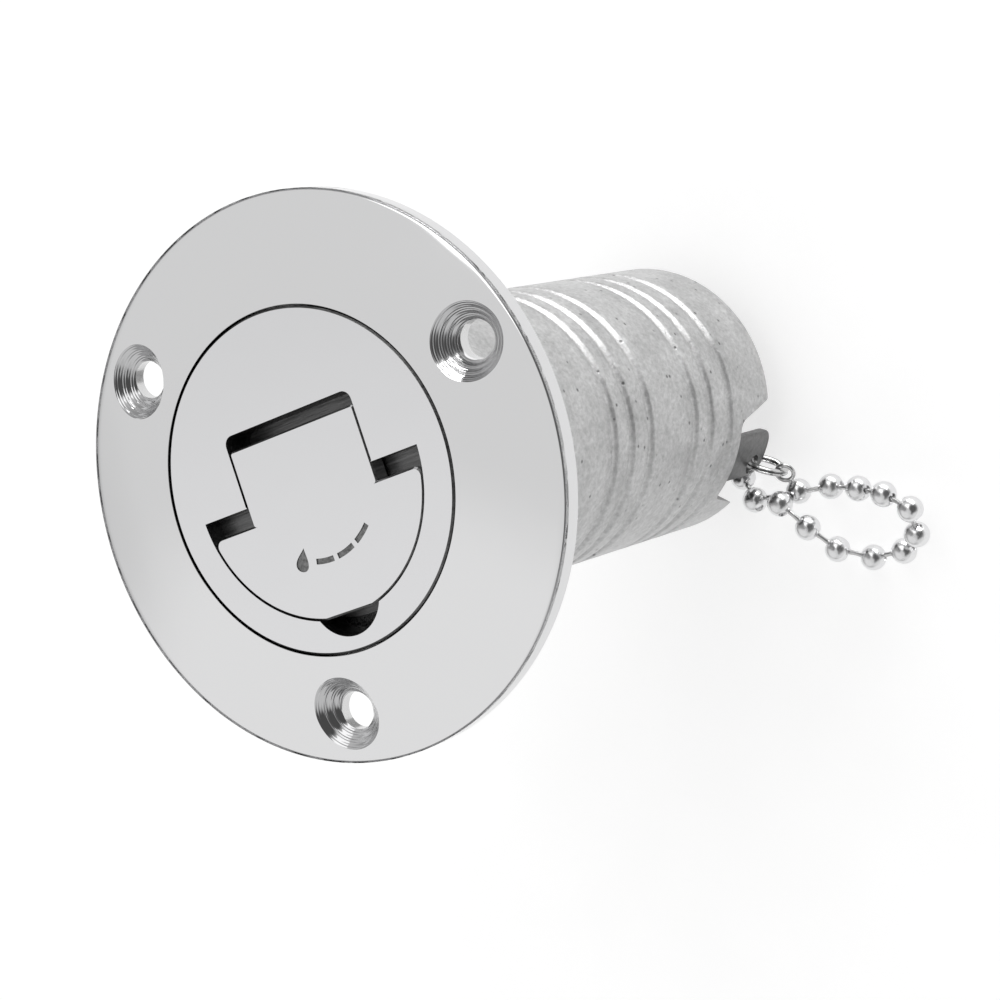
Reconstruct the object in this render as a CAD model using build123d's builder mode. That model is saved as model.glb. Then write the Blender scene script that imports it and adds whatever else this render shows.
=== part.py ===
from build123d import *
import math
import os

# Deck fill cap. Millimetres. Origin at the centre of the flange's underside,
# which is the deck's surface. +Z points out of the deck, X runs along the
# handle's hinge pin, and the finger notch is towards -Y.

# ---- driving dimensions ----

# flange
flange_radius = 44.5
rim_thickness = 3.6
face_height = 6.4
rim_round = 0.7
face_mid_radius = 36.0
face_mid_height = 5.0
screw_circle_radius = 36.5
screw_count = 3
screw_start_angle = 17.5
screw_hole_radius = 3.0
countersink_radius = 5.75
countersink_height = 4.6

# neck and hose tail
neck_radius = 30.0
neck_bottom = -6.0
tail_radius = 24.6
tail_top = -16.0
tail_bore_radius = 21.6
tail_bottom = -101.1
tail_end_round = 0.6
casting_round = 3.0
groove_depth = 0.7
groove_half_width = 1.1
upper_grooves = (-45.3, -51.0, -57.5)
lower_grooves = (-73.2, -79.0, -86.1)

# notch and lug at the end of the hose tail
notch_angle = -42.0
notch_top = -90.5
notch_top_half_width = 7.6
notch_mouth_half_width = 10.4
notch_corner_radius = 2.0
lug_half_angle = 11.0
lug_bottom = -104.2
lug_corner_radius = 2.4
lug_inner_radius = 22.2
lug_outer_radius = 24.4
lug_thickness = lug_outer_radius - lug_inner_radius
lug_hole_radius = 1.9
lug_hole_drop = 0.85

# cap and its socket
cap_radius = 26.75
socket_radius = 27.15
cap_head_bottom = 1.0
cap_head_chamfer = 0.3
seat_z = -1.2
thread_pitch = 3.0
cap_core_radius = 21.7
socket_thread_radius = 23.25
thread_height = 1.2
thread_root_width = 1.35
thread_crest_width = 0.75
thread_root_overlap = 0.2
thread_turns = 2.5
thread_first_z = -11.6
socket_bottom = -14.0
socket_taper_length = 1.6
seat_chamfer = 0.5
plug_bottom = -13.0
plug_bore_radius = 17.0
web_bottom = -2.6

# handle and its pocket
leaf_thickness = 3.2
leaf_radius = 21.5
pocket_radius = 21.9
pocket_floor = 2.9
tab_half_width = 12.7
tab_top_y = 8.5
tab_corner_radius = 0.6
pocket_half_width = 13.0
pocket_top_y = 10.9
pocket_corner_radius = 1.6
leaf_shoulder_y = -3.6
pocket_shoulder_y = -0.6
leaf_chord_y = -21.0
well_y = 2.2
well_floor = 0.2
notch_centre_y = -18.0
notch_radius = 6.6
notch_floor = 1.0
pin_radius = 0.9
pin_clearance = 0.05
pin_half_length = 17.5
pin_y = 4.5
pin_z = face_height - leaf_thickness / 2

# seal
o_ring_radius = 24.1
o_ring_section = 1.08

# chain swivel
boss_radius = 4.0
boss_bottom = -5.5
screw_shank_radius = 1.5
screw_hole_top = -0.9
screw_end_clearance = 0.3
shoulder_radius = 1.9
shoulder_length = 1.4
screw_head_radius = 3.2
screw_head_height = 1.8
screw_head_round = 0.8
slot_width = 0.8
slot_depth = 0.8
strap_half_width = 2.6
strap_thickness = 1.0
strap_bend_radius = 1.4
strap_top = -5.7
strap_hole_radius = 2.0
strap_eye_radius = 4.2
strap_leg_x = 7.5
strap_bottom = -19.4
strap_slot_half_width = 1.0

# ball chain
ball_radius = 2.38
chain_pitch = 6.77
link_radius = 0.55
link_inset = 0.35
ring_radius = 3.8
ring_wire_radius = 0.7
ring_centre = Vector(17.2, -18.2, -103.6)
swing_angle = -38.0
eye_radius = 1.6
eye_wire_radius = 0.4
eye_clearance = 0.15
hand_over_reach = 7.0
hand_over_gap = 0.12

# how far a cutting shape runs past the surface that it cuts, and how close two
# measurements have to be to count as the same edge
cut_over = 1.0
same = 0.01

swing_turn = math.radians(swing_angle)
swing_direction = Vector(math.cos(swing_turn), math.sin(swing_turn), 0)
ring_axis = swing_direction.cross(Vector(0, 0, 1))
hand_over = ring_centre + ring_axis * hand_over_reach

# The loop's route runs from the ring, out, round and back to the hand-over
# ball, and the inner route from there under the tail's rim up to the strap.
loop_route = [
    (20.9, -24.7, -105.6), (33.8, -27.8, -103.5), (44.3, -34.8, -99.2),
    (36.2, -41.0, -106.5), (24.8, -36.6, -104.6), (18.4, -25.6, -101.5),
    hand_over,
]
inner_route = [
    hand_over, (9.9, -18.4, -107.0), (8.2, -13.2, -103.4),
    (7.2, -11.0, -96.0), (3.6, -5.5, -55.0), (0.5, -0.8, -24.5), (0.0, 0.0, -16.2),
]


# ---- helpers ----

def polar(radius, angle, z=0.0):
    """A point at a radius and an angle in degrees about the Z axis."""
    turn = math.radians(angle)
    return Vector(radius * math.cos(turn), radius * math.sin(turn), z)


def helical_ridge(root_radius, crest_radius, first_z, turns):
    """A trapezoid thread ridge that follows a right-hand helix."""
    outward = 1 if crest_radius > root_radius else -1
    buried_radius = root_radius - outward * thread_root_overlap
    with BuildPart() as ridge:
        with BuildLine():
            helix = Helix(thread_pitch, thread_pitch * turns, root_radius, center=(0, 0, first_z))
        section = Plane(origin=(0, 0, first_z), x_dir=(1, 0, 0), z_dir=(0, -1, 0))
        with BuildSketch(section):
            with BuildLine():
                Polyline(
                    (buried_radius, -thread_root_width / 2),
                    (root_radius, -thread_root_width / 2),
                    (crest_radius, -thread_crest_width / 2),
                    (crest_radius, thread_crest_width / 2),
                    (root_radius, thread_root_width / 2),
                    (buried_radius, thread_root_width / 2),
                    close=True,
                )
            make_face()
        sweep(path=helix, is_frenet=True)
    return ridge.part


def balls_along(route, first, last):
    """Centres of the chain's balls, evenly spaced along a smooth route."""
    with BuildLine() as line:
        Spline(*route)
    wire = line.wires()[0]
    count = round(wire.length / chain_pitch)
    return [wire.position_at(i / count) for i in range(first, count + 1 - last)]


def make_balls(centres, name):
    with BuildPart() as balls:
        with Locations(*centres):
            Sphere(ball_radius)
    balls.part.label = name
    return balls.part


def make_links(centres, name, last_gap=-link_inset):
    """Round wire links that reach from inside one ball's wall to inside the next
    ball's wall, or stop short of the last ball by a gap."""
    with BuildPart() as links:
        for i, (start, end) in enumerate(zip(centres[:-1], centres[1:])):
            along = (end - start).normalized()
            far_gap = last_gap if i == len(centres) - 2 else -link_inset
            length = (end - start).length - 2 * ball_radius + link_inset - far_gap
            with BuildSketch(Plane(origin=start + along * (ball_radius - link_inset), z_dir=along)):
                Circle(link_radius)
            extrude(amount=length)
    links.part.label = name
    return links.part


# ---- flange, neck and hose tail: one casting ----

with BuildPart() as filler_body:
    with BuildSketch(Plane.XZ):
        with BuildLine():
            Polyline(
                (tail_bore_radius, tail_bottom),
                (tail_bore_radius, socket_bottom - socket_taper_length),
                (socket_thread_radius, socket_bottom),
                (socket_thread_radius, seat_z - seat_chamfer),
                (socket_thread_radius + seat_chamfer, seat_z),
                (socket_radius, seat_z),
                (socket_radius, face_height),
            )
            ThreePointArc(
                (socket_radius, face_height),
                (face_mid_radius, face_mid_height),
                (flange_radius, rim_thickness),
            )
            Polyline(
                (flange_radius, rim_thickness),
                (flange_radius, 0),
                (neck_radius, 0),
                (neck_radius, neck_bottom),
                (tail_radius, tail_top),
                (tail_radius, tail_bottom),
                (tail_bore_radius, tail_bottom),
            )
        make_face()
    revolve(axis=Axis.Z)
    rim_edges = filler_body.edges().filter_by(GeomType.CIRCLE).filter_by(
        lambda e: abs(e.radius - flange_radius) < same and e.center().Z > rim_thickness / 2
    )
    fillet(rim_edges, rim_round)
    cast_corners = filler_body.edges().filter_by(GeomType.CIRCLE).filter_by(
        lambda e: abs(e.center().Z - neck_bottom) < same or abs(e.center().Z - tail_top) < same
    )
    fillet(cast_corners, casting_round)
    fillet(filler_body.edges().filter_by(GeomType.CIRCLE).group_by(Axis.Z)[0], tail_end_round)

    # three countersunk screw holes
    with BuildSketch():
        with PolarLocations(screw_circle_radius, screw_count, start_angle=screw_start_angle):
            Circle(screw_hole_radius)
    extrude(amount=face_height, mode=Mode.SUBTRACT)
    cone_reach = face_height - countersink_height + cut_over
    cone_height = countersink_radius - screw_hole_radius + cone_reach
    with PolarLocations(screw_circle_radius, screw_count, start_angle=screw_start_angle):
        with Locations((0, 0, countersink_height + cone_reach - cone_height)):
            Cone(
                screw_hole_radius,
                screw_hole_radius + cone_height,
                cone_height,
                align=(Align.CENTER, Align.CENTER, Align.MIN),
                mode=Mode.SUBTRACT,
            )

    # two groups of three rounded hose grooves
    with BuildSketch(Plane.XZ):
        for groove_z in upper_grooves + lower_grooves:
            with Locations((tail_radius, groove_z)):
                Ellipse(groove_depth, groove_half_width)
    revolve(axis=Axis.Z, mode=Mode.SUBTRACT)

    # notch across the wall at the lower end, then the lug that stands in it
    notch_direction = polar(1, notch_angle)
    across = Vector(0, 0, 1).cross(notch_direction)
    with BuildSketch(Plane(origin=(0, 0, 0), x_dir=across, z_dir=notch_direction)) as notch:
        with BuildLine():
            Polyline(
                (-notch_mouth_half_width, tail_bottom - cut_over),
                (-notch_top_half_width, notch_top),
                (notch_top_half_width, notch_top),
                (notch_mouth_half_width, tail_bottom - cut_over),
                close=True,
            )
        make_face()
        fillet(notch.vertices().group_by(Axis.Z)[-1], notch_corner_radius)
    extrude(amount=tail_radius + cut_over, mode=Mode.SUBTRACT)
    lug_start_angle = notch_angle - lug_half_angle
    lug_end_angle = notch_angle + lug_half_angle
    with BuildSketch(Plane.XY.offset(lug_bottom)):
        with BuildLine():
            Line(polar(lug_inner_radius, lug_start_angle), polar(lug_outer_radius, lug_start_angle))
            RadiusArc(
                polar(lug_outer_radius, lug_start_angle),
                polar(lug_outer_radius, lug_end_angle),
                -lug_outer_radius,
            )
            Line(polar(lug_outer_radius, lug_end_angle), polar(lug_inner_radius, lug_end_angle))
            RadiusArc(
                polar(lug_inner_radius, lug_end_angle),
                polar(lug_inner_radius, lug_start_angle),
                lug_inner_radius,
            )
        make_face()
    extrude(amount=notch_top - lug_bottom + cut_over)
    lug_corners = filler_body.edges().filter_by(
        lambda e: abs(e.center().Z - lug_bottom) < same and abs(e.length - lug_thickness) < same
    )
    fillet(lug_corners, lug_corner_radius)
    lug_hole_centre = ring_centre + Vector(0, 0, ring_radius - lug_hole_drop)
    with BuildSketch(Plane(origin=lug_hole_centre, z_dir=swing_direction)):
        Circle(lug_hole_radius)
    extrude(amount=lug_thickness + cut_over, both=True, mode=Mode.SUBTRACT)

    # thread inside the socket
    add(helical_ridge(socket_thread_radius, socket_thread_radius - thread_height,
                      thread_first_z + thread_pitch / 2, thread_turns))
filler_body.part.label = "filler_body"

# ---- screw cap ----

with BuildPart() as screw_cap:
    with BuildSketch(Plane.XZ):
        with BuildLine():
            Polyline(
                (0, face_height),
                (cap_radius, face_height),
                (cap_radius, cap_head_bottom),
                (cap_core_radius, cap_head_bottom),
                (cap_core_radius, plug_bottom),
                (plug_bore_radius, plug_bottom),
                (plug_bore_radius, web_bottom),
                (boss_radius, web_bottom),
                (boss_radius, boss_bottom),
                (0, boss_bottom),
                close=True,
            )
        make_face()
    revolve(axis=Axis.Z)
    head_rims = screw_cap.edges().filter_by(GeomType.CIRCLE).filter_by(
        lambda e: abs(e.radius - cap_radius) < same
    )
    chamfer(head_rims, cap_head_chamfer)

    # pocket for the handle: a square-ended bay for the tab and a half-round for the leaf
    with BuildSketch(Plane.XY.offset(face_height)) as pocket:
        Circle(pocket_radius)
        with Locations((0, pocket_shoulder_y)):
            Rectangle(
                2 * pocket_radius, 2 * pocket_radius,
                align=(Align.CENTER, Align.MIN), mode=Mode.SUBTRACT,
            )
        with Locations((0, pocket_shoulder_y)):
            Rectangle(
                2 * pocket_half_width, pocket_top_y - pocket_shoulder_y,
                align=(Align.CENTER, Align.MIN),
            )
        fillet(pocket.vertices().group_by(Axis.Y)[-1], pocket_corner_radius)
    extrude(amount=pocket_floor - face_height, mode=Mode.SUBTRACT)

    # deep well that the tab's end swings down into, and the finger notch
    with BuildSketch(Plane.XY.offset(pocket_floor)) as well:
        with Locations((0, well_y)):
            Rectangle(2 * pocket_half_width, pocket_top_y - well_y, align=(Align.CENTER, Align.MIN))
        fillet(well.vertices().group_by(Axis.Y)[-1], pocket_corner_radius)
    extrude(amount=well_floor - pocket_floor, mode=Mode.SUBTRACT)
    with BuildSketch(Plane.XY.offset(face_height)):
        with Locations((0, notch_centre_y)):
            Circle(notch_radius)
    extrude(amount=notch_floor - face_height, mode=Mode.SUBTRACT)

    # hinge pin hole, drilled in from the +X side, and the swivel screw's hole
    with BuildSketch(Plane.YZ.offset(-pin_half_length)):
        with Locations((pin_y, pin_z)):
            Circle(pin_radius)
    extrude(amount=pin_half_length + cap_radius, mode=Mode.SUBTRACT)
    with BuildSketch(Plane.XY.offset(boss_bottom)):
        Circle(screw_shank_radius)
    extrude(amount=screw_hole_top - boss_bottom, mode=Mode.SUBTRACT)

    add(helical_ridge(cap_core_radius, cap_core_radius + thread_height, thread_first_z, thread_turns))
screw_cap.part.label = "screw_cap"

# ---- flip-up handle ----

with BuildPart() as cap_handle:
    with BuildSketch(Plane.XY.offset(face_height)) as leaf:
        Circle(leaf_radius)
        with Locations((0, leaf_shoulder_y)):
            Rectangle(
                2 * leaf_radius, 2 * leaf_radius,
                align=(Align.CENTER, Align.MIN), mode=Mode.SUBTRACT,
            )
        with Locations((0, leaf_chord_y)):
            Rectangle(
                2 * leaf_radius, leaf_radius,
                align=(Align.CENTER, Align.MAX), mode=Mode.SUBTRACT,
            )
        with Locations((0, leaf_shoulder_y)):
            Rectangle(
                2 * tab_half_width, tab_top_y - leaf_shoulder_y,
                align=(Align.CENTER, Align.MIN),
            )
        fillet(leaf.vertices().group_by(Axis.Y)[-1], tab_corner_radius)
    extrude(amount=-leaf_thickness)
    with BuildSketch(Plane.YZ.offset(-tab_half_width)):
        with Locations((pin_y, pin_z)):
            Circle(pin_radius + pin_clearance)
    extrude(amount=2 * tab_half_width, mode=Mode.SUBTRACT)
cap_handle.part.label = "cap_handle"

with BuildPart() as handle_pin:
    with BuildSketch(Plane.YZ.offset(-pin_half_length)):
        with Locations((pin_y, pin_z)):
            Circle(pin_radius)
    extrude(amount=2 * pin_half_length)
handle_pin.part.label = "handle_pin"

# ---- seal ----

with BuildPart() as cap_o_ring:
    with BuildSketch(Plane.XZ):
        with Locations((o_ring_radius, (cap_head_bottom + seat_z) / 2)):
            Circle(o_ring_section)
    revolve(axis=Axis.Z)
cap_o_ring.part.label = "cap_o_ring"

# ---- chain swivel: shoulder screw and strap ----

shoulder_bottom = boss_bottom - shoulder_length
with BuildPart() as swivel_screw:
    with BuildSketch(Plane.XY.offset(boss_bottom)):
        Circle(screw_shank_radius)
    extrude(amount=screw_hole_top - screw_end_clearance - boss_bottom)
    with BuildSketch(Plane.XY.offset(shoulder_bottom)):
        Circle(shoulder_radius)
    extrude(amount=shoulder_length)
    with BuildSketch(Plane.XY.offset(shoulder_bottom - screw_head_height)):
        Circle(screw_head_radius)
    extrude(amount=screw_head_height)
    head_edge = swivel_screw.edges().group_by(Axis.Z)[0]
    fillet(head_edge, screw_head_round)
    with BuildSketch(Plane.XY.offset(shoulder_bottom - screw_head_height)):
        Rectangle(slot_width, 2 * screw_head_radius)
    extrude(amount=slot_depth, mode=Mode.SUBTRACT)
swivel_screw.part.label = "swivel_screw"

with BuildPart() as swivel_strap:
    with BuildSketch(Plane.XZ.offset(-strap_half_width)):
        with BuildLine():
            Polyline(
                (0, strap_top),
                (strap_leg_x, strap_top),
                (strap_leg_x, strap_bottom),
                (-strap_half_width, strap_bottom),
                (-strap_half_width, strap_bottom + strap_thickness),
                (strap_leg_x - strap_thickness, strap_bottom + strap_thickness),
                (strap_leg_x - strap_thickness, strap_top - strap_thickness),
                (0, strap_top - strap_thickness),
                close=True,
            )
        make_face()
    extrude(amount=2 * strap_half_width)
    bends = swivel_strap.edges().filter_by(Axis.Y).filter_by(
        lambda e: e.center().X > strap_leg_x - same
    )
    fillet(bends, strap_bend_radius)
    with BuildSketch(Plane.XY.offset(strap_top - strap_thickness)):
        Circle(strap_eye_radius)
    extrude(amount=strap_thickness)
    with BuildSketch(Plane.XY.offset(strap_top - strap_thickness)):
        Circle(strap_hole_radius)
    extrude(amount=strap_thickness, mode=Mode.SUBTRACT)
    with BuildSketch(Plane.XY.offset(strap_bottom)):
        with Locations((-strap_half_width / 2, 0)):
            SlotOverall(2 * strap_slot_half_width + strap_half_width, 2 * strap_slot_half_width)
    extrude(amount=strap_thickness, mode=Mode.SUBTRACT)
swivel_strap.part.label = "swivel_strap"

# ---- ring in the lug, and the ball chain ----

with BuildPart() as lug_ring:
    with Locations(Plane(origin=ring_centre, x_dir=swing_direction, z_dir=ring_axis)):
        Torus(ring_radius, ring_wire_radius)
lug_ring.part.label = "lug_ring"

loop_centres = balls_along(loop_route, 0, 1)
inner_centres = balls_along(inner_route, 0, 0)

eye_offset = ring_radius + eye_radius - ring_wire_radius - eye_wire_radius - eye_clearance
eye_centre = ring_centre + swing_direction * eye_offset
stem = loop_centres[0] - eye_centre
eye_normal = stem.cross(Vector(0, 0, 1)).cross(stem)
with BuildPart() as chain_eye:
    with Locations(Plane(origin=eye_centre, x_dir=swing_direction, z_dir=eye_normal)):
        Torus(eye_radius, eye_wire_radius)
    with BuildSketch(Plane(origin=eye_centre + stem.normalized() * eye_radius, z_dir=stem)):
        Circle(link_radius)
    extrude(amount=stem.length - eye_radius - ball_radius + link_inset)
chain_eye.part.label = "chain_eye"

loop_balls = make_balls(loop_centres, "loop_balls")
loop_links = make_links(loop_centres + inner_centres[:1], "loop_links", hand_over_gap)
inner_balls = make_balls(inner_centres, "inner_balls")
inner_links = make_links(inner_centres, "inner_links")

# ---- write the parts ----

os.makedirs("parts", exist_ok=True)
export_step(filler_body.part, "parts/filler_body.step")
export_step(screw_cap.part, "parts/screw_cap.step")
export_step(cap_handle.part, "parts/cap_handle.step")
export_step(handle_pin.part, "parts/handle_pin.step")
export_step(cap_o_ring.part, "parts/cap_o_ring.step")
export_step(swivel_screw.part, "parts/swivel_screw.step")
export_step(swivel_strap.part, "parts/swivel_strap.step")
export_step(lug_ring.part, "parts/lug_ring.step")
export_step(chain_eye.part, "parts/chain_eye.step")
for piece in (loop_balls, loop_links, inner_balls, inner_links):
    export_step(piece, f"parts/{piece.label}.step")
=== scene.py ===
import math

import bmesh
import bpy
from mathutils import Matrix, Vector


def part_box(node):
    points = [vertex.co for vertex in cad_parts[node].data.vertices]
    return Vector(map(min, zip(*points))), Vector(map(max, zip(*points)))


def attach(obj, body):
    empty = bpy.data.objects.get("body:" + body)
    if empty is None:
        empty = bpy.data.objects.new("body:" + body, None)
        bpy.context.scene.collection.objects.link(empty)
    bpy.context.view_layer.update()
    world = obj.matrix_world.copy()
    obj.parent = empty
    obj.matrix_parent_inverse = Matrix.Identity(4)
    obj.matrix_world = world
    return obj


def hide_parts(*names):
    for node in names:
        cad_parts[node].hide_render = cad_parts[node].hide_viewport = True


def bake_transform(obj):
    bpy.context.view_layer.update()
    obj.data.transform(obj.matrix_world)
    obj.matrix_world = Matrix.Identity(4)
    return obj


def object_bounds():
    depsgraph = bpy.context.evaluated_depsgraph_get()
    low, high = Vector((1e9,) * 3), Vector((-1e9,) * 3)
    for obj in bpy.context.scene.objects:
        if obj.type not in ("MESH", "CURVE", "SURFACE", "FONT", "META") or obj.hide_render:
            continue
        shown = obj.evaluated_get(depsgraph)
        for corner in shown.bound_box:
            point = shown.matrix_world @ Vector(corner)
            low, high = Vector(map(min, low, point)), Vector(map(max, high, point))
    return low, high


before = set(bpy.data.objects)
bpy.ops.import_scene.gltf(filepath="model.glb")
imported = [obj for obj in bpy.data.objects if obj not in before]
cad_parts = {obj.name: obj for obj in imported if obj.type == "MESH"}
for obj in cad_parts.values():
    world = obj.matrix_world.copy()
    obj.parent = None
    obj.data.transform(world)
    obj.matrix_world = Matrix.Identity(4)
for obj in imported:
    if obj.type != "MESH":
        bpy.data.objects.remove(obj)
cad_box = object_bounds()

# Millimetres below; every mesh is scaled to metres as it is made. The frame is
# the CAD's: origin at the centre of the flange's underside, +Z out of the deck,
# X along the handle's pin, the finger notch towards -Y.
MM = 0.001

# flange
FLANGE_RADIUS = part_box("filler_body")[1].x / MM
FACE_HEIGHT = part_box("filler_body")[1].z / MM
RIM_THICKNESS = 3.6
RIM_ROUND = 0.7
SCREW_CIRCLE_RADIUS = 36.5
SCREW_START_ANGLE = 17.5
SCREW_COUNT = 3
SCREW_HOLE_RADIUS = 3.0
COUNTERSINK_RADIUS = 6.1
COUNTERSINK_INNER_RADIUS = 2.8
COUNTERSINK_FACE_Z = 5.0
COUNTERSINK_RINGS = 11
COUNTERSINK_RING_DEPTH = 0.010
FACE_SLOPE = math.radians(9)

# neck and hose tail
NECK_RADIUS = 30.0
NECK_BOTTOM = -6.0
TAIL_RADIUS = 24.6
TAIL_TOP = -16.0
TAIL_BORE_RADIUS = 21.6
TAIL_BOTTOM = -101.1
GROOVES = (-45.3, -51.0, -57.5, -73.2, -79.0, -86.1)
GROOVE_DEPTH = 0.7
GROOVE_HALF_WIDTH = 1.1
NOTCH_ANGLE = -42.0
NOTCH_TOP = -90.5
NOTCH_TOP_HALF_WIDTH = 7.6
NOTCH_MOUTH_HALF_WIDTH = 10.4
LUG_HALF_ANGLE = 11.0
LUG_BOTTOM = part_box("filler_body")[0].z / MM
LUG_RADII = (22.2, 23.9)

# cap, socket and thread
CAP_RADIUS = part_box("screw_cap")[1].x / MM + 0.12
SOCKET_RADIUS = 27.15
SEAT_Z = -1.2
CAP_HEAD_BOTTOM = 1.0
CAP_EDGE = 0.3
CAP_CORE_RADIUS = 21.7
SOCKET_THREAD_RADIUS = 23.25
SOCKET_BOTTOM = -14.0
PLUG_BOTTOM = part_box("screw_cap")[0].z / MM
PLUG_BORE_RADIUS = 17.0
WEB_BOTTOM = -2.6
BOSS_RADIUS = 4.0
BOSS_BOTTOM = -5.5
THREAD_PITCH = 3.0
THREAD_HEIGHT = 1.2
THREAD_TURNS = 2.5
THREAD_FIRST_Z = -11.6

# handle and its pocket
LEAF_THICKNESS = 3.2
LEAF_EDGE = 0.3
LEAF_CORNER = 1.4
LEAF_RADIUS = 21.5
LEAF_SHOULDER_Y = -3.6
LEAF_CHORD_Y = -21.0
TAB_HALF_WIDTH = 12.7
TAB_TOP_Y = 8.5
POCKET_RADIUS = 21.65
POCKET_HALF_WIDTH = 12.85
POCKET_TOP_Y = 10.9
POCKET_SHOULDER_Y = -0.6
POCKET_FLOOR = 2.9
WELL_Y = 2.2
WELL_FLOOR = 0.2
FINGER_CENTRE_Y = -18.0
FINGER_RADIUS = 6.6
FINGER_FLOOR = 1.0
PIN_Y = 4.5
MARK_DEPTH = 0.18
DASH_RADII = (11.9, 12.8)
DASH_STARTS = (-104, -84, -64)
DASH_SPAN = 16
DROP_ANGLE = -116
DROP_CENTRE_RADIUS = 12.3
DROP_HALF_HEIGHT = 1.9
DROP_HALF_WIDTH = 1.7
PIN_Z = FACE_HEIGHT - LEAF_THICKNESS / 2

# chain
BALL_RADIUS = 2.38
LINK_RADIUS = 0.5
RING_RADIUS = 3.8
RING_CENTRE = Vector((17.2, -18.2, -103.6))
SWING_ANGLE = -38.0

# studio: levels of the walls by height, and panels (direction, inner and outer half angle, level)
WALL_LEVELS = ((0.0, 0.42), (0.3, 0.52), (0.5, 0.77), (1.0, 0.77))
PANELS = (
    ((-0.60, -0.45, 0.66), 26, 37, 0.89),
    ((0.76, 0.0, 0.66), 23, 39, 0.11),
    ((0.55, -0.60, 0.53), 18, 29, 0.11),
    ((0.35, -0.90, -0.05), 25, 50, 0.85),
    ((0.80, 0.55, 0.30), 5, 9, 1.6),
)
FLOOR_GLOW = 0.64

ROUND = 192          # steps round the large turned surfaces
FLOOR_Z = cad_box[0].z - 0.0002


# ---- points and outlines ----

def polar(radius, angle, z=None):
    """A point at a radius and an angle in degrees, flat or at a height."""
    turn = math.radians(angle)
    flat = (radius * math.cos(turn), radius * math.sin(turn))
    return flat if z is None else (*flat, z)


def arc(centre, radius, start, end, steps):
    """Points along a flat arc, in degrees, both ends included."""
    return [
        (centre[0] + radius * math.cos(math.radians(start + (end - start) * i / steps)),
         centre[1] + radius * math.sin(math.radians(start + (end - start) * i / steps)))
        for i in range(steps + 1)
    ]


def through(a, b, steps):
    """Points of a straight stretch from a to b, the last left out."""
    return [(a[0] + (b[0] - a[0]) * i / steps, a[1] + (b[1] - a[1]) * i / steps) for i in range(steps)]


def rounded(corners, steps=5):
    """A closed outline whose corners (x, y, radius) are rounded to arcs."""
    outline = []
    for i, (x, y, radius) in enumerate(corners):
        here = Vector((x, y))
        before = Vector(corners[i - 1][:2]) - here
        after = Vector(corners[(i + 1) % len(corners)][:2]) - here
        if radius <= 0:
            outline.append((x, y))
            continue
        a, b = before.normalized(), after.normalized()
        half = a.angle(b) / 2
        reach = min(radius / math.tan(half), before.length * 0.49, after.length * 0.49)
        true_radius = reach * math.tan(half)
        middle = here + (a + b).normalized() * (true_radius / math.sin(half))
        start, end = here + a * reach - middle, here + b * reach - middle
        turn = start.angle_signed(end)
        for k in range(steps + 1):
            spin = Matrix.Rotation(-turn * k / steps, 2)
            outline.append(tuple(middle + spin @ start))
    return outline


# ---- meshes ----

def object_from(bm, name, materials=()):
    """A new object in metres from a mesh built in millimetres."""
    bmesh.ops.recalc_face_normals(bm, faces=bm.faces)
    bmesh.ops.scale(bm, vec=(MM, MM, MM), verts=bm.verts)
    mesh = bpy.data.meshes.new(name)
    bm.to_mesh(mesh)
    bm.free()
    for material in materials:
        mesh.materials.append(material)
    made = bpy.data.objects.new(name, mesh)
    bpy.context.scene.collection.objects.link(made)
    return made


def lathe(profile, name, steps=ROUND, materials=()):
    """Turns a closed profile of (radius, z) points about the Z axis."""
    bm = bmesh.new()
    rings = []
    for k in range(steps):
        turn = 2 * math.pi * k / steps
        rings.append([
            bm.verts.new((r * math.cos(turn), r * math.sin(turn), z)) for r, z in profile
        ])
    for k in range(steps):
        one, two = rings[k], rings[(k + 1) % steps]
        for i in range(len(profile)):
            j = (i + 1) % len(profile)
            bm.faces.new((one[i], one[j], two[j], two[i]))
    bmesh.ops.remove_doubles(bm, verts=bm.verts, dist=1e-5)
    return object_from(bm, name, materials)


def stack(layers, name, plane=Matrix.Identity(4), materials=()):
    """Outlines of equal length at rising heights, skinned, closed and set in a plane."""
    bm = bmesh.new()
    rings = [[bm.verts.new((x, y, height)) for x, y in outline] for outline, height in layers]
    bm.faces.new(list(reversed(rings[0])))
    bm.faces.new(rings[-1])
    for low, high in zip(rings[:-1], rings[1:]):
        for i in range(len(low)):
            j = (i + 1) % len(low)
            bm.faces.new((low[i], low[j], high[j], high[i]))
    bmesh.ops.transform(bm, matrix=plane, verts=bm.verts)
    return object_from(bm, name, materials)


def prism(outline, low, high, name, plane=Matrix.Identity(4), materials=()):
    return stack([(outline, low), (outline, high)], name, plane, materials)


def cut(target, cutter, operation="DIFFERENCE"):
    """Cuts or joins another closed mesh into the target, and removes it."""
    step = target.modifiers.new("cut", "BOOLEAN")
    step.operation = operation
    step.solver = "EXACT"
    step.material_mode = "TRANSFER"
    step.object = cutter
    apply_modifiers(target)
    bpy.data.objects.remove(cutter)


def apply_modifiers(target):
    depsgraph = bpy.context.evaluated_depsgraph_get()
    made = bpy.data.meshes.new_from_object(target.evaluated_get(depsgraph))
    old = target.data
    target.modifiers.clear()
    target.data = made
    made.name = target.name
    bpy.data.meshes.remove(old)


def bevel(target, width, segments=3, angle=35):
    step = target.modifiers.new("bevel", "BEVEL")
    step.width = width * MM
    step.segments = segments
    step.limit_method = "ANGLE"
    step.angle_limit = math.radians(angle)
    step.harden_normals = False
    apply_modifiers(target)


def smooth(target, angle=32):
    for face in target.data.polygons:
        face.use_smooth = True
    target.data.set_sharp_from_angle(angle=math.radians(angle))


def weigh_normals(target):
    """Keeps large flat faces flat where small bevels meet them."""
    step = target.modifiers.new("weighted normals", "WEIGHTED_NORMAL")
    step.keep_sharp = True
    step.weight = 100


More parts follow.
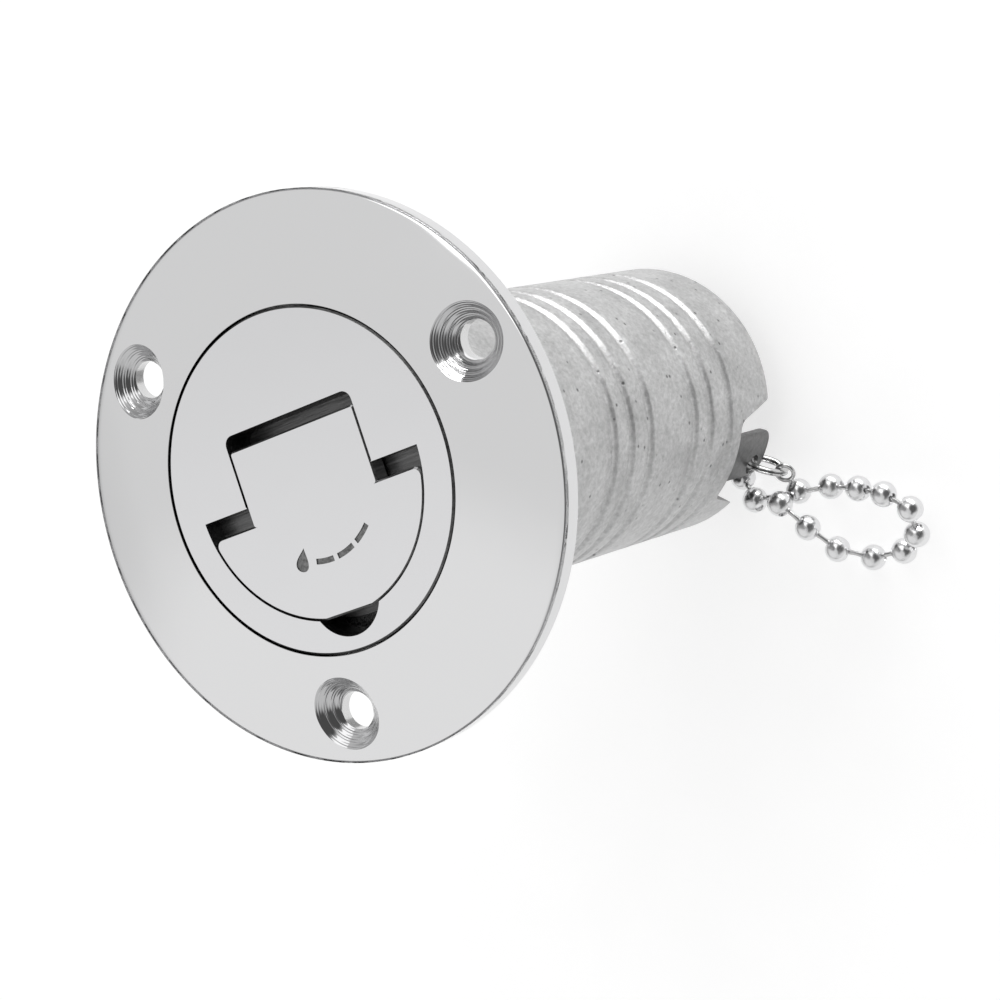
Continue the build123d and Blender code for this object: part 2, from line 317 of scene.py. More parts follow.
def helical_ridge(root, crest, name, materials=()):
    """A right-hand trapezoid thread whose ends run out into the wall."""
    outward = 1 if crest > root else -1
    height = abs(crest - root)
    per_turn = 72
    count = int(per_turn * THREAD_TURNS)
    first_z = THREAD_FIRST_Z + (0 if outward > 0 else THREAD_PITCH / 2)
    bm = bmesh.new()
    sections = []
    for k in range(count + 1):
        turn = 2 * math.pi * k / per_turn
        rise = min(1.0, k / 12, (count - k) / 12)
        z = first_z + THREAD_PITCH * k / per_turn
        shape = (
            (root - outward * 0.2, -0.68), (root, -0.67),
            (root + outward * (height * rise - 0.12), -0.42), (root + outward * height * rise, -0.3),
            (root + outward * height * rise, 0.3), (root + outward * (height * rise - 0.12), 0.42),
            (root, 0.67), (root - outward * 0.2, 0.68),
        )
        sections.append([
            bm.verts.new((r * math.cos(turn), r * math.sin(turn), z + dz)) for r, dz in shape
        ])
    for one, two in zip(sections[:-1], sections[1:]):
        for i in range(len(one)):
            j = (i + 1) % len(one)
            bm.faces.new((one[i], one[j], two[j], two[i]))
    bm.faces.new(sections[0])
    bm.faces.new(sections[-1])
    return object_from(bm, name, materials)


def join(target, *others):
    """Puts other meshes into the target's mesh as they stand."""
    bm = bmesh.new()
    bm.from_mesh(target.data)
    for other in others:
        first = len(bm.faces)
        bm.from_mesh(other.data)
        bm.faces.ensure_lookup_table()
        slots = []
        for material in other.data.materials:
            if material.name not in [m.name for m in target.data.materials]:
                target.data.materials.append(material)
            slots.append([m.name for m in target.data.materials].index(material.name))
        for face in bm.faces[first:]:
            face.material_index = slots[face.material_index] if slots else 0
        bpy.data.objects.remove(other)
    bm.to_mesh(target.data)
    bm.free()


# ---- materials ----

def new_material(name, color, metallic, roughness):
    material = bpy.data.materials.new(name)
    material.use_nodes = True
    shader = material.node_tree.nodes["Principled BSDF"]
    shader.inputs["Base Color"].default_value = (*color, 1)
    shader.inputs["Metallic"].default_value = metallic
    shader.inputs["Roughness"].default_value = roughness
    return material, material.node_tree.nodes, material.node_tree.links, shader


def noise_node(nodes, links, scale, detail=4.0, rough=0.55, stretch=(1, 1, 1)):
    place = nodes.new("ShaderNodeTexCoord")
    mapping = nodes.new("ShaderNodeMapping")
    mapping.inputs["Scale"].default_value = stretch
    texture = nodes.new("ShaderNodeTexNoise")
    texture.inputs["Scale"].default_value = scale
    texture.inputs["Detail"].default_value = detail
    texture.inputs["Roughness"].default_value = rough
    links.new(place.outputs["Object"], mapping.inputs["Vector"])
    links.new(mapping.outputs["Vector"], texture.inputs["Vector"])
    return texture.outputs["Fac"]


def ramp(nodes, links, source, low, high, start=0.3, end=0.7):
    """Maps a 0 to 1 value onto grey levels or colours between two stops."""
    node = nodes.new("ShaderNodeValToRGB")
    node.color_ramp.elements[0].position = start
    node.color_ramp.elements[1].position = end
    node.color_ramp.elements[0].color = (*low, 1) if hasattr(low, "__len__") else (low, low, low, 1)
    node.color_ramp.elements[1].color = (*high, 1) if hasattr(high, "__len__") else (high, high, high, 1)
    links.new(source, node.inputs["Fac"])
    return node.outputs["Color"]


def multiplied(nodes, links, one, two):
    node = nodes.new("ShaderNodeMix")
    node.data_type = "RGBA"
    node.blend_type = "MULTIPLY"
    node.inputs["Factor"].default_value = 1
    links.new(one, node.inputs[6])
    links.new(two, node.inputs[7])
    return node.outputs[2]


def bump(nodes, links, shader, height, strength, distance):
    node = nodes.new("ShaderNodeBump")
    node.inputs["Strength"].default_value = strength
    node.inputs["Distance"].default_value = distance
    links.new(height, node.inputs["Height"])
    links.new(node.outputs["Normal"], shader.inputs["Normal"])
    return node


def polished_steel(name, color=(0.80, 0.80, 0.805)):
    """Mirror-buffed stainless: faint waviness, and haze that varies in patches."""
    material, nodes, links, shader = new_material(name, color, 1.0, 0.08)
    haze = noise_node(nodes, links, 60, 5)
    links.new(ramp(nodes, links, haze, 0.055, 0.12), shader.inputs["Roughness"])
    wave = noise_node(nodes, links, 55, 2)
    bump(nodes, links, shader, wave, 0.05, 0.001)
    return material


def cast_steel(name, brightness):
    """Blasted investment casting: grey speckle over soft blotches, with small dark pits."""
    material, nodes, links, shader = new_material(name, (0.5, 0.5, 0.5), 0.75, 0.36)
    speckle = noise_node(nodes, links, 1100, 6, 0.7)
    blotch = noise_node(nodes, links, 130, 5, 0.6)
    fine = ramp(nodes, links, speckle, 0.36 * brightness, 0.56 * brightness, 0.32, 0.68)
    broad = ramp(nodes, links, blotch, 0.72, 1.0, 0.3, 0.7)
    pits = nodes.new("ShaderNodeTexVoronoi")
    pits.inputs["Scale"].default_value = 330
    place = nodes.new("ShaderNodeTexCoord")
    links.new(place.outputs["Object"], pits.inputs["Vector"])
    spots = ramp(nodes, links, pits.outputs["Distance"], 0.35, 1.0, 0.06, 0.13)
    links.new(multiplied(nodes, links, multiplied(nodes, links, fine, broad), spots), shader.inputs["Base Color"])
    links.new(ramp(nodes, links, blotch, 0.30, 0.44), shader.inputs["Roughness"])
    relief = multiplied(nodes, links, ramp(nodes, links, speckle, 0.6, 1.0), spots)
    bump(nodes, links, shader, relief, 0.35, 0.0003)
    return material


def turned_steel(name, color=(0.66, 0.66, 0.66), roughness=0.2):
    """Machined or drawn steel with fine streaks."""
    material, nodes, links, shader = new_material(name, color, 1.0, roughness)
    streaks = noise_node(nodes, links, 300, 3, 0.6, (1, 1, 6))
    links.new(ramp(nodes, links, streaks, roughness * 0.7, roughness * 1.5), shader.inputs["Roughness"])
    bump(nodes, links, shader, streaks, 0.12, 0.0002)
    return material


def recess_steel_painted_shade(name):
    """The milled walls and floor of a deep pocket, with fine tool streaks; the very dark base colour is painted
    shade for the deep recess.
    """
    material, nodes, links, shader = new_material(name, (0.3, 0.3, 0.3), 1.0, 0.35)
    streaks = noise_node(nodes, links, 420, 4, 0.6, (0.3, 4, 4))
    links.new(ramp(nodes, links, streaks, 0.10, 0.24, 0.35, 0.75), shader.inputs["Base Color"])
    links.new(ramp(nodes, links, streaks, 0.28, 0.45), shader.inputs["Roughness"])
    bump(nodes, links, shader, streaks, 0.3, 0.0003)
    return material


def etched_steel(name):
    """The floor of an engraved mark: dark and matt."""
    material, nodes, links, shader = new_material(name, (0.2, 0.2, 0.2), 1.0, 0.5)
    grain = noise_node(nodes, links, 2500, 3)
    links.new(ramp(nodes, links, grain, 0.12, 0.3), shader.inputs["Base Color"])
    bump(nodes, links, shader, grain, 0.4, 0.0001)
    return material


def seal_rubber(name):
    material, nodes, links, shader = new_material(name, (0.02, 0.02, 0.02), 0.0, 0.55)
    grain = noise_node(nodes, links, 1500, 3)
    links.new(ramp(nodes, links, grain, 0.45, 0.65), shader.inputs["Roughness"])
    bump(nodes, links, shader, grain, 0.15, 0.0001)
    return material


def pale_floor(name):
    material, nodes, links, shader = new_material(name, (0.5, 0.5, 0.5), 0.0, 0.9)
    grain = noise_node(nodes, links, 40, 2)
    links.new(ramp(nodes, links, grain, 0.49, 0.51), shader.inputs["Base Color"])
    shader.inputs["Emission Color"].default_value = (1, 1, 1, 1)
    shader.inputs["Emission Strength"].default_value = FLOOR_GLOW
    return material


POLISHED = polished_steel("polished_flange")
POLISHED_CAP = polished_steel("polished_cap", (0.79, 0.79, 0.80))
CAST = cast_steel("rough_cast", 1.18)
# Painted shade: a much darker copy of the cast steel for the notch's cut faces and the lug, standing in for the
# shade inside the pipe's end.
CAST_PAINTED_SHADE = cast_steel("rough_cast_painted_shade", 0.36)
# Painted shade: a darker copy of the polished steel on the rounded rim, toning down its bright reflection.
RIM_PAINTED_SHADE = polished_steel("polished_rim_painted_shade", (0.68, 0.68, 0.685))
TURNED = turned_steel("turned_steel")
# Painted shade: a darker copy of the polished steel in the countersinks, to darken them against the flange face.
COUNTERSINK_PAINTED_SHADE = polished_steel("countersink_steel_painted_shade", (0.55, 0.55, 0.555))
ETCHED = etched_steel("etched_mark")
RECESS_PAINTED_SHADE = recess_steel_painted_shade("milled_recess_painted_shade")
BALL = turned_steel("ball_steel", (0.76, 0.76, 0.765), 0.2)
WIRE = turned_steel("wire_steel", (0.58, 0.58, 0.58), 0.22)
RUBBER = seal_rubber("seal_rubber")


# ---- flange, neck and hose tail ----

def groove_profile(z):
    """One rounded groove with softened lips, from its lower edge up."""
    points = []
    steps = 10
    for i in range(steps + 1):
        along = -1 + 2 * i / steps
        depth = GROOVE_DEPTH * math.cos(along * math.pi / 2) ** 1.3
        points.append((TAIL_RADIUS - depth, z + along * GROOVE_HALF_WIDTH * 1.15))
    return points


def filler_profile():
    """The casting's half section, anticlockwise from the bore's lower edge."""
    end = 0.6
    outside = [(TAIL_RADIUS, TAIL_BOTTOM + end)]
    z = TAIL_BOTTOM + end
    for groove in sorted(GROOVES):
        low = groove - GROOVE_HALF_WIDTH * 1.15
        outside += through((TAIL_RADIUS, z), (TAIL_RADIUS, low), 6)[1:]
        outside += groove_profile(groove)
        z = groove + GROOVE_HALF_WIDTH * 1.15
    outside += through((TAIL_RADIUS, z), (TAIL_RADIUS, TAIL_TOP - 1), 14)[1:]
    neck = rounded([
        (TAIL_RADIUS, TAIL_TOP - 3, 0), (TAIL_RADIUS, TAIL_TOP, 4),
        (NECK_RADIUS, NECK_BOTTOM, 4), (NECK_RADIUS, 0, 0.8), (FLANGE_RADIUS, 0, 0.35),
        (FLANGE_RADIUS, RIM_THICKNESS, 0.01),
    ], 6)[1:-6]
    bottom_arc = arc((TAIL_RADIUS - end, TAIL_BOTTOM + end), end, -90, 0, 4)[:-1]
    rim = arc((FLANGE_RADIUS - RIM_ROUND, RIM_THICKNESS - RIM_ROUND), RIM_ROUND, 0, 80, 6)
    face = []
    steps = 26
    start_r, start_z = rim[-1]
    for i in range(1, steps):
        t = i / steps
        r = start_r + (SOCKET_RADIUS + 0.05 - start_r) * t
        z = start_z + (FACE_HEIGHT - start_z) * t + 0.10 * math.sin(math.pi * t)
        face.append((r, z))
    socket = [
        (SOCKET_RADIUS + 0.05, FACE_HEIGHT), (SOCKET_RADIUS, FACE_HEIGHT - 0.05),
        (SOCKET_RADIUS, SEAT_Z), (SOCKET_THREAD_RADIUS + 0.5, SEAT_Z),
        (SOCKET_THREAD_RADIUS, SEAT_Z - 0.5), (SOCKET_THREAD_RADIUS, SOCKET_BOTTOM),
        (TAIL_BORE_RADIUS, SOCKET_BOTTOM - 1.6),
    ]
    bore = through((TAIL_BORE_RADIUS, SOCKET_BOTTOM - 1.6), (TAIL_BORE_RADIUS, TAIL_BOTTOM + end), 30)[1:]
    inner_arc = arc((TAIL_BORE_RADIUS + end, TAIL_BOTTOM + end), end, 180, 270, 4)
    return bottom_arc + outside + neck + rim + face + socket + bore + inner_arc


def countersink_cutters(angle):
    """A straight hole, and a cone square to the sloping face whose wall carries the bit's fine rings."""
    x, y = polar(SCREW_CIRCLE_RADIUS, angle)
    hole = lathe([(0, -1), (SCREW_HOLE_RADIUS, -1), (SCREW_HOLE_RADIUS, FACE_HEIGHT), (0, FACE_HEIGHT)],
                 "screw_hole", 48, [TURNED])
    hole.data.transform(Matrix.Translation((x * MM, y * MM, 0)))
    reach = COUNTERSINK_RADIUS - COUNTERSINK_INNER_RADIUS
    profile = [(0, -reach - 1), (COUNTERSINK_INNER_RADIUS, -reach)]
    points = COUNTERSINK_RINGS * 6
    for i in range(1, points):
        t = i / points
        ripple = COUNTERSINK_RING_DEPTH * math.sin(t * COUNTERSINK_RINGS * 2 * math.pi)
        ripple *= min(1, 5 * (1 - t)) * (1 + 0.9 * math.sin(23 * t))
        profile.append((COUNTERSINK_INNER_RADIUS + reach * t + ripple, -reach + reach * t - ripple))
    profile += [(COUNTERSINK_RADIUS, 0), (COUNTERSINK_RADIUS + 2, 2), (0, 2)]
    # The cone's wall takes the darker polished copy: painted shade.
    cone = lathe(profile, "countersink", 72, [COUNTERSINK_PAINTED_SHADE])
    tilt = Matrix.Rotation(math.radians(angle), 4, "Z") @ Matrix.Rotation(FACE_SLOPE, 4, "Y")
    place = Matrix.Translation((x * MM, y * MM, COUNTERSINK_FACE_Z * MM))
    cone.data.transform(place @ tilt)
    return hole, cone


def casting_finish(r, z):
    """The body's material slot at a radius and height: face, rough, turned, or the rim's darker polished copy
    (painted shade).
    """
    if z > 0.05 and r > SOCKET_RADIUS - 0.5:
        return 3 if r > FLANGE_RADIUS - RIM_ROUND / 2 and z < RIM_THICKNESS else 0
    return 1 if r > TAIL_RADIUS - 1 or z < SOCKET_BOTTOM - 1 else 2


def make_filler_body():
    body = lathe(filler_profile(), "filler_body_shell", materials=[POLISHED, CAST, TURNED, RIM_PAINTED_SHADE])
    for k in range(SCREW_COUNT):
        for cutter in countersink_cutters(SCREW_START_ANGLE + 360 * k / SCREW_COUNT):
            cut(body, cutter)
    across = Vector((-math.sin(math.radians(NOTCH_ANGLE)), math.cos(math.radians(NOTCH_ANGLE)), 0))
    outward = Vector(polar(1, NOTCH_ANGLE, 0))
    plane = Matrix((
        (across.x, 0, outward.x, 0), (across.y, 0, outward.y, 0), (0, 1, 0, 0), (0, 0, 0, 1),
    ))
    notch = rounded([
        (-NOTCH_MOUTH_HALF_WIDTH - 2.2, TAIL_BOTTOM - 1, 0), (-NOTCH_MOUTH_HALF_WIDTH, TAIL_BOTTOM + 0.6, 2),
        (-NOTCH_TOP_HALF_WIDTH, NOTCH_TOP, 2), (NOTCH_TOP_HALF_WIDTH, NOTCH_TOP, 2),
        (NOTCH_MOUTH_HALF_WIDTH, TAIL_BOTTOM + 0.6, 2), (NOTCH_MOUTH_HALF_WIDTH + 2.2, TAIL_BOTTOM - 1, 0),
    ])
    # The notch's cut faces take the darker cast copy: painted shade.
    cut(body, prism(notch, 5, TAIL_RADIUS + 1, "notch", plane, [CAST_PAINTED_SHADE]))
    cut(body, make_lug(), "UNION")
    for face in body.data.polygons:
        z = face.center.z / MM
        r = math.hypot(face.center.x, face.center.y) / MM
        if face.material_index == 0:
            face.material_index = casting_finish(r, z)
    join(body, helical_ridge(SOCKET_THREAD_RADIUS, SOCKET_THREAD_RADIUS - THREAD_HEIGHT, "socket_thread", [TURNED]))
    smooth(body)
    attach(body, "deck_body")
    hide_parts("filler_body")
    return body


def make_lug():
    """The tongue in the notch: a curved plate with rounded corners and a hole."""
    inner, outer = LUG_RADII
    half = math.radians(LUG_HALF_ANGLE) * (inner + outer) / 2
    outline = rounded([
        (-half, LUG_BOTTOM, 2.4), (half, LUG_BOTTOM, 2.4), (half, NOTCH_TOP + 1.0, 0), (-half, NOTCH_TOP + 1.0, 0),
    ], 8)
    bm = bmesh.new()
    rows = 16
    # The lug takes the darker cast copy: painted shade.
    lug = prism(outline, inner, outer, "lug", materials=[CAST_PAINTED_SHADE])
    bm.from_mesh(lug.data)
    bmesh.ops.subdivide_edges(bm, edges=[e for e in bm.edges if e.calc_length() > 3 * MM], cuts=rows)
    middle = (inner + outer) / 2 * MM
    for v in bm.verts:
        angle = math.radians(NOTCH_ANGLE) + v.co.x / middle
        z = v.co.y
        r = v.co.z
        v.co = (r * math.cos(angle), r * math.sin(angle), z)
    bmesh.ops.recalc_face_normals(bm, faces=bm.faces)
    bm.to_mesh(lug.data)
    bm.free()
    bevel(lug, 0.3, 2)
    direction = Vector(polar(1, SWING_ANGLE, 0))
    centre = RING_CENTRE + Vector((0, 0, RING_RADIUS - 0.85))
    frame_matrix = direction.to_track_quat("Z", "Y").to_matrix().to_4x4()
    frame_matrix.translation = centre
    hole = prism(arc((0, 0), 1.9, 0, 360, 28)[:-1], -5, 5, "lug_hole", frame_matrix, [TURNED])
    cut(lug, hole)
    return lug


# ---- cap ----

def cap_finish(face):
    """The cap's material slot: turned below the head, the dark recess steel on the head's chamfer as painted shade
    of the seam gap, polished above.
    """
    if face.center.z < (CAP_HEAD_BOTTOM + 0.05) * MM:
        return 1
    return 2 if 0.5 < face.normal.z < 0.9 else 0


def make_cap():
    profile = rounded([
        (0, BOSS_BOTTOM, 0), (BOSS_RADIUS, BOSS_BOTTOM, 0.3), (BOSS_RADIUS, WEB_BOTTOM, 0.6),
        (PLUG_BORE_RADIUS, WEB_BOTTOM, 1.2), (PLUG_BORE_RADIUS, PLUG_BOTTOM, 0.2),
        (CAP_CORE_RADIUS, PLUG_BOTTOM, 0.6), (CAP_CORE_RADIUS, CAP_HEAD_BOTTOM, 0.3),
        (CAP_RADIUS, CAP_HEAD_BOTTOM, 0.3), (CAP_RADIUS, FACE_HEIGHT - CAP_EDGE, 0), (CAP_RADIUS - CAP_EDGE, FACE_HEIGHT, 0), (0, FACE_HEIGHT, 0),
    ], 5)
    cap = lathe(profile, "screw_cap_shell", materials=[POLISHED_CAP, TURNED, RECESS_PAINTED_SHADE])
    start = math.degrees(math.asin(POCKET_SHOULDER_Y / POCKET_RADIUS))
    bowl = arc((0, 0), POCKET_RADIUS, start, -180 - start, 96)
    top = rounded([
        (-POCKET_HALF_WIDTH, POCKET_SHOULDER_Y, 0.3), (-POCKET_HALF_WIDTH, POCKET_TOP_Y, 1.6),
        (POCKET_HALF_WIDTH, POCKET_TOP_Y, 1.6), (POCKET_HALF_WIDTH, POCKET_SHOULDER_Y, 0.3),
    ], 6)
    pocket = prism(bowl + top, POCKET_FLOOR, FACE_HEIGHT + 1, "pocket", materials=[RECESS_PAINTED_SHADE])
    well = prism(rounded([
        (-POCKET_HALF_WIDTH, WELL_Y, 0), (POCKET_HALF_WIDTH, WELL_Y, 0),
        (POCKET_HALF_WIDTH, POCKET_TOP_Y, 1.6), (-POCKET_HALF_WIDTH, POCKET_TOP_Y, 1.6),
    ], 6), WELL_FLOOR, POCKET_FLOOR + 0.5, "well", materials=[RECESS_PAINTED_SHADE])
    finger = prism(arc((0, FINGER_CENTRE_Y), FINGER_RADIUS, 0, 360, 64)[:-1],
                   FINGER_FLOOR, FACE_HEIGHT + 1, "finger", materials=[RECESS_PAINTED_SHADE])
    cut(pocket, well, "UNION")
    cut(pocket, finger, "UNION")
    cut(cap, pocket)
    for face in cap.data.polygons:
        if face.material_index == 0:
            face.material_index = cap_finish(face)
    join(cap, helical_ridge(CAP_CORE_RADIUS, CAP_CORE_RADIUS + THREAD_HEIGHT, "cap_thread", [TURNED]))
    smooth(cap)
    weigh_normals(cap)
    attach(cap, "cap")
    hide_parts("screw_cap")
    return cap


# ---- handle ----

def mark_cutters():
    """A plain drop and three arc dashes, cut shallow into the leaf."""
    shapes = [
        arc((0, 0), DASH_RADII[0], first, first + DASH_SPAN, 14) +
        arc((0, 0), DASH_RADII[1], first + DASH_SPAN, first, 14)
        for first in DASH_STARTS
    ]
    out = Vector(polar(1, DROP_ANGLE))
    across = Vector((-out.y, out.x))
    centre = out * DROP_CENTRE_RADIUS
    drop = []
    for k in range(40):
        t = 2 * math.pi * k / 40
        width = DROP_HALF_WIDTH * math.sin(t) * math.sin(t / 2) ** 1.6
        drop.append(tuple(centre - out * DROP_HALF_HEIGHT * math.cos(t) + across * width))
    shapes.append(drop)
    return [
        prism(shape, FACE_HEIGHT - MARK_DEPTH, FACE_HEIGHT + 1, "mark", materials=[ETCHED]) for shape in shapes
    ]


def leaf_outline(inset):
    """The leaf seen from above: a tab over a round leaf with a straight lower end."""
    radius = LEAF_RADIUS - inset
    half_tab = TAB_HALF_WIDTH - inset
    shoulder_y = LEAF_SHOULDER_Y - inset
    corner = LEAF_CORNER - inset
    corner_y = shoulder_y - corner
    corner_x = math.sqrt((radius - corner) ** 2 - corner_y ** 2)
    meet = math.degrees(math.atan2(corner_y, corner_x))
    chord = math.degrees(math.acos((-LEAF_CHORD_Y - inset) / radius))
    right = arc((corner_x, corner_y), corner, 90, meet, 8) + arc((0, 0), radius, meet, -90 + chord, 60)[1:]
    left = arc((0, 0), radius, -90 - chord, -180 - meet, 60)[:-1]
    left += arc((-corner_x, corner_y), corner, -180 - meet, -270, 8)
    return right + left + rounded([
        (-half_tab, shoulder_y, 0.25 + inset), (-half_tab, TAB_TOP_Y - inset, 0.6 - inset),
        (half_tab, TAB_TOP_Y - inset, 0.6 - inset), (half_tab, shoulder_y, 0.25 + inset),
    ], 5)


def make_handle():
    bottom = FACE_HEIGHT - LEAF_THICKNESS
    handle = stack([
        (leaf_outline(LEAF_EDGE), bottom), (leaf_outline(0), bottom + LEAF_EDGE),
        (leaf_outline(0), FACE_HEIGHT - LEAF_EDGE), (leaf_outline(LEAF_EDGE), FACE_HEIGHT),
    ], "cap_handle_leaf", materials=[POLISHED_CAP, RECESS_PAINTED_SHADE])
    # Painted shade: the leaf's chamfers, all but those facing +Y, take the dark recess steel so a shadowed gap
    # shows round the leaf.
    for face in handle.data.polygons:
        if 0.5 < face.normal.z < 0.9 and face.normal.y < 0.5:
            face.material_index = 1
    across = Matrix(((0, 0, 1, 0), (1, 0, 0, PIN_Y), (0, 1, 0, PIN_Z), (0, 0, 0, 1)))
    cut(handle, prism(arc((0, 0), 0.95, 0, 360, 32)[:-1], -20, 20, "pin_bore", across, [TURNED]))
    for cutter in mark_cutters():
        cut(handle, cutter)
    smooth(handle)
    weigh_normals(handle)
    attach(handle, "handle")
    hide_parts("cap_handle")
    return handle


# ---- ball chain ----

def part_centres(node):
    """The centre of each separate solid in a CAD node, in millimetres."""
    bm = bmesh.new()
    bm.from_mesh(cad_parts[node].data)
    bmesh.ops.remove_doubles(bm, verts=bm.verts, dist=1e-7)
    left = set(bm.verts)
    centres = []
    while left:
        seed = left.pop()
        group, edge_of = [seed], [seed]
        while edge_of:
            v = edge_of.pop()
            for e in v.link_edges:
                w = e.other_vert(v)
                if w in left:
                    left.discard(w)
                    group.append(w)
                    edge_of.append(w)
        low = Vector(min(v.co[i] for v in group) for i in range(3))
        high = Vector(max(v.co[i] for v in group) for i in range(3))
        centres.append((low + high) / 2 / MM)
    bm.free()
    return centres


def in_order(points, start):
    """Points as a chain, each next to the nearest one not yet used."""
    left, here, chain = list(points), start, []
    while left:
        here = min(left, key=lambda p: (p - here).length)
        left.remove(here)
        chain.append(here)
    return chain


def turned_along(bm, profile, centre, axis, steps):
    """Adds a turned shape about an axis through a point; profile is (radius, along)."""
    turn = axis.to_track_quat("Z", "Y").to_matrix()
    rings = []
    for k in range(steps):
        a = 2 * math.pi * k / steps
        rings.append([
            bm.verts.new(centre + turn @ Vector((r * math.cos(a), r * math.sin(a), z))) for r, z in profile
        ])
    for k in range(steps):
        one, two = rings[k], rings[(k + 1) % steps]
        for i in range(len(profile) - 1):
            bm.faces.new((one[i], one[i + 1], two[i + 1], two[i]))
    for i in (0, len(profile) - 1):
        bm.faces.new([ring[i] for ring in rings])


def ball_profile():
    """A pressed ball: round, with a rolled lip and a dimple at each link's hole."""
    lip = math.asin(0.95 / BALL_RADIUS)
    half = []
    steps = 14
    for i in range(steps + 1):
        a = math.pi / 2 - (math.pi / 2 - lip) * i / steps
        half.append((BALL_RADIUS * math.sin(a), BALL_RADIUS * math.cos(a)))
    top = BALL_RADIUS * math.cos(lip)
    half += [(0.82, top + 0.02), (0.72, top - 0.1), (0.62, top - 0.45)]
    return [(r, -z) for r, z in reversed(half)] + half[1:]


def link_profile(length):
    """A wire link with a slight waist, ending inside the balls."""
    half = length / 2
    return [
        (LINK_RADIUS * 0.9, -half), (LINK_RADIUS, -half + 0.25), (LINK_RADIUS * 0.82, 0),
        (LINK_RADIUS, half - 0.25), (LINK_RADIUS * 0.9, half),
    ]


def make_chain(balls, links, centres, span):
    """Balls and links of one stretch; span is all the balls the links run between."""
    bm = bmesh.new()
    profile = ball_profile()
    for centre in centres:
        i = span.index(centre)
        along = (span[min(i + 1, len(span) - 1)] - span[max(i - 1, 0)]).normalized()
        turned_along(bm, profile, centre, along, 28)
    ball_piece = object_from(bm, balls + "_pressed", [BALL])
    bm = bmesh.new()
    for a, b in zip(span[:-1], span[1:]):
        length = (b - a).length - 2 * BALL_RADIUS + 1.1
        turned_along(bm, link_profile(length), (a + b) / 2, (b - a).normalized(), 14)
    link_piece = object_from(bm, links + "_wire", [WIRE])
    for piece, node, slot_name in ((ball_piece, balls, "ball_steel"), (link_piece, links, "link_steel")):
        smooth(piece, 50)
        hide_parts(node)
    return ball_piece, link_piece


def make_ball_chain():
    inner = in_order(part_centres("inner_balls"), Vector((0, 0, 0)))
    loop = in_order(part_centres("loop_balls"), RING_CENTRE + Vector((4, -5, 0)))
    inner_pair = make_chain("inner_balls", "inner_links", inner, inner)
    loop_pair = make_chain("loop_balls", "loop_links", loop, loop + [inner[-1]])
    for piece in inner_pair:
        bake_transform(piece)
    for piece in loop_pair:
        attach(piece, "chain_loop")


def make_split_ring():
    """Two coils of flat wire, the step between them at one place."""
    bm = bmesh.new()
    direction = Vector(polar(1, SWING_ANGLE, 0))
    axis = direction.cross(Vector((0, 0, 1)))
    steps = 120
    sections = []
    for k in range(steps + 1):
        t = k / steps
        turn = math.radians(-60) + 4 * math.pi * t
        step = max(0.0, min(1.0, (t - 0.46) / 0.08))
        shift = -0.34 + 0.68 * step * step * (3 - 2 * step)
        out = direction * math.cos(turn) + Vector((0, 0, 1)) * math.sin(turn)
        section = []
        for j in range(10):
            a = 2 * math.pi * j / 10
            section.append(bm.verts.new(
                RING_CENTRE + out * (RING_RADIUS + 0.62 * math.cos(a)) + axis * (shift + 0.34 * math.sin(a))
            ))
        sections.append(section)
    for one, two in zip(sections[:-1], sections[1:]):
        for i in range(10):
            bm.faces.new((one[i], one[(i + 1) % 10], two[(i + 1) % 10], two[i]))
    bm.faces.new(sections[0])
    bm.faces.new(sections[-1])
    ring = object_from(bm, "lug_split_ring", [WIRE])
    smooth(ring, 60)
    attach(ring, "chain_loop")
    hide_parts("lug_ring")


# ---- CAD pieces that keep their shape ----

def finish_cad_node(node, material):
    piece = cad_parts[node]
    piece.data.materials.clear()
    piece.data.materials.append(material)
    for face in piece.data.polygons:
        face.use_smooth = True
    piece.data.set_sharp_from_angle(angle=math.radians(30))


# ---- studio ----

def make_floor():
    bm = bmesh.new()
    bmesh.ops.create_grid(bm, x_segments=8, y_segments=8, size=4000)
    floor = object_from(bm, "floor", [pale_floor("pale_floor")])
    floor.location.z = FLOOR_Z


def area_light(name, place, target, size, power):
    data = bpy.data.lights.new(name, "AREA")
    data.shape = "RECTANGLE"
    data.size, data.size_y = size
    data.energy = power
    light = bpy.data.objects.new(name, data)
    light.location = place
    light.rotation_euler = (Vector(target) - Vector(place)).to_track_quat("-Z", "Y").to_euler()
    bpy.context.scene.collection.objects.link(light)


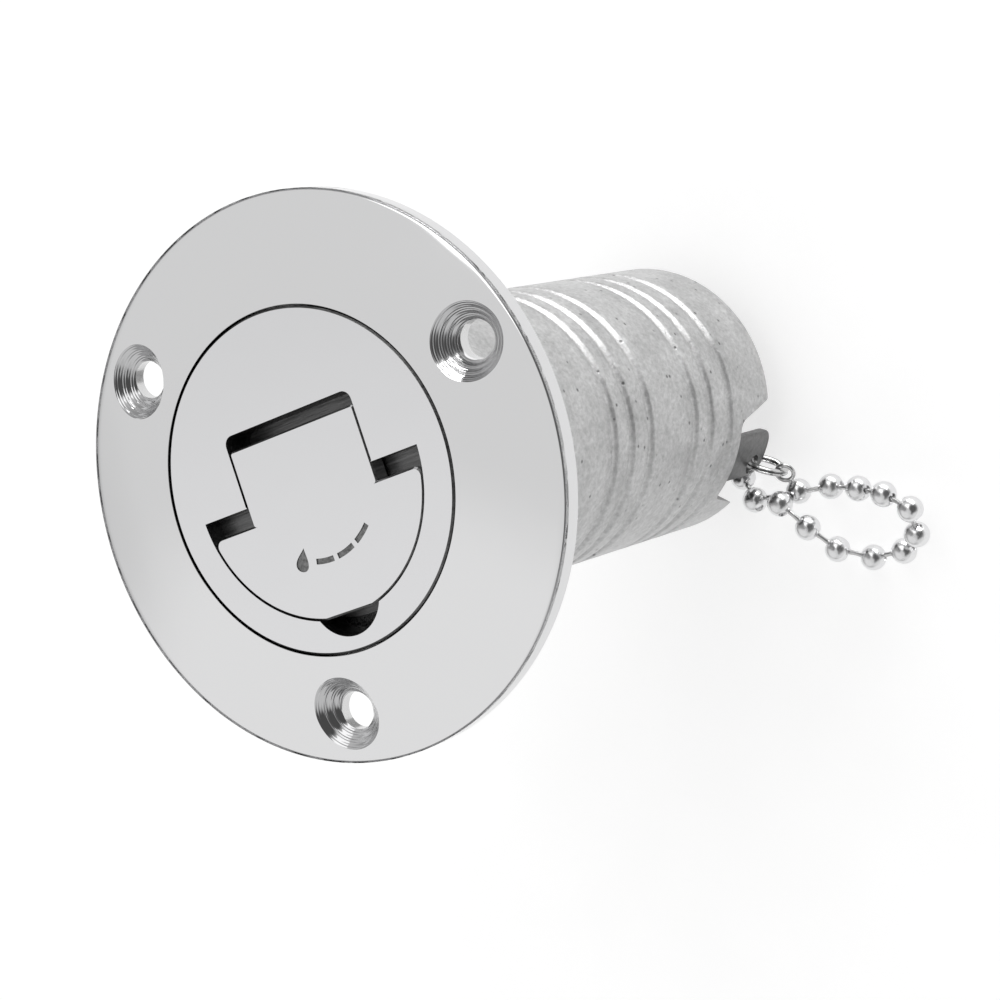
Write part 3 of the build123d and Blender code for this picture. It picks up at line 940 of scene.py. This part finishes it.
def make_world():
    """A pale studio: light overhead, dimmer walls, and dark and bright panels in it."""
    world = bpy.data.worlds.new("studio")
    bpy.context.scene.world = world
    world.use_nodes = True
    nodes, links = world.node_tree.nodes, world.node_tree.links
    place = nodes.new("ShaderNodeTexCoord")
    split = nodes.new("ShaderNodeSeparateXYZ")
    links.new(place.outputs["Generated"], split.inputs["Vector"])
    grade = nodes.new("ShaderNodeValToRGB")
    stops = grade.color_ramp.elements
    for position, _ in WALL_LEVELS[1:-1]:
        stops.new(position)
    for stop, (_, level) in zip(stops, WALL_LEVELS):
        stop.color = (level, level, level, 1)
    links.new(split.outputs["Z"], grade.inputs["Fac"])
    light = grade.outputs["Color"]
    for direction, inner, outer, level in PANELS:
        dot = nodes.new("ShaderNodeVectorMath")
        dot.operation = "DOT_PRODUCT"
        dot.inputs[1].default_value = Vector(direction).normalized()
        links.new(place.outputs["Generated"], dot.inputs[0])
        edge = nodes.new("ShaderNodeMapRange")
        edge.interpolation_type = "SMOOTHSTEP"
        edge.inputs["From Min"].default_value = math.cos(math.radians(outer))
        edge.inputs["From Max"].default_value = math.cos(math.radians(inner))
        links.new(dot.outputs["Value"], edge.inputs["Value"])
        mix = nodes.new("ShaderNodeMix")
        mix.data_type = "RGBA"
        links.new(edge.outputs["Result"], mix.inputs["Factor"])
        links.new(light, mix.inputs[6])
        mix.inputs[7].default_value = (level, level, level, 1)
        light = mix.outputs[2]
    links.new(light, nodes["Background"].inputs["Color"])
    nodes["Background"].inputs["Strength"].default_value = 1.0


def make_camera():
    data = bpy.data.cameras.new("camera")
    data.lens = 94.88
    data.sensor_width = 36
    camera = bpy.data.objects.new("camera", data)
    right = Vector((0.78344, -0.31484, -0.53581))
    up = Vector((0.2809, 0.94847, -0.1466))
    back = right.cross(up).normalized()
    up = back.cross(right.normalized())
    turn = Matrix((right.normalized(), up, back)).transposed()
    camera.matrix_world = Matrix.Translation(Vector((245.06, -26.24, 325.1)) * MM) @ turn.to_4x4()
    bpy.context.scene.collection.objects.link(camera)
    bpy.context.scene.camera = camera


make_camera()
make_world()
make_floor()
area_light("key", (0.2, 0.9, 1.3), (0, 0, -0.1), (1.0, 1.0), 3)
area_light("strip", (0.52, 0.86, 0.04), (0, 0, -0.06), (1.0, 0.24), 7)
bpy.context.scene.view_settings.view_transform = "Standard"

make_filler_body()
make_cap()
make_handle()
make_ball_chain()
make_split_ring()
finish_cad_node("handle_pin", TURNED)
finish_cad_node("cap_o_ring", RUBBER)
finish_cad_node("swivel_screw", TURNED)
finish_cad_node("swivel_strap", TURNED)
finish_cad_node("chain_eye", WIRE)
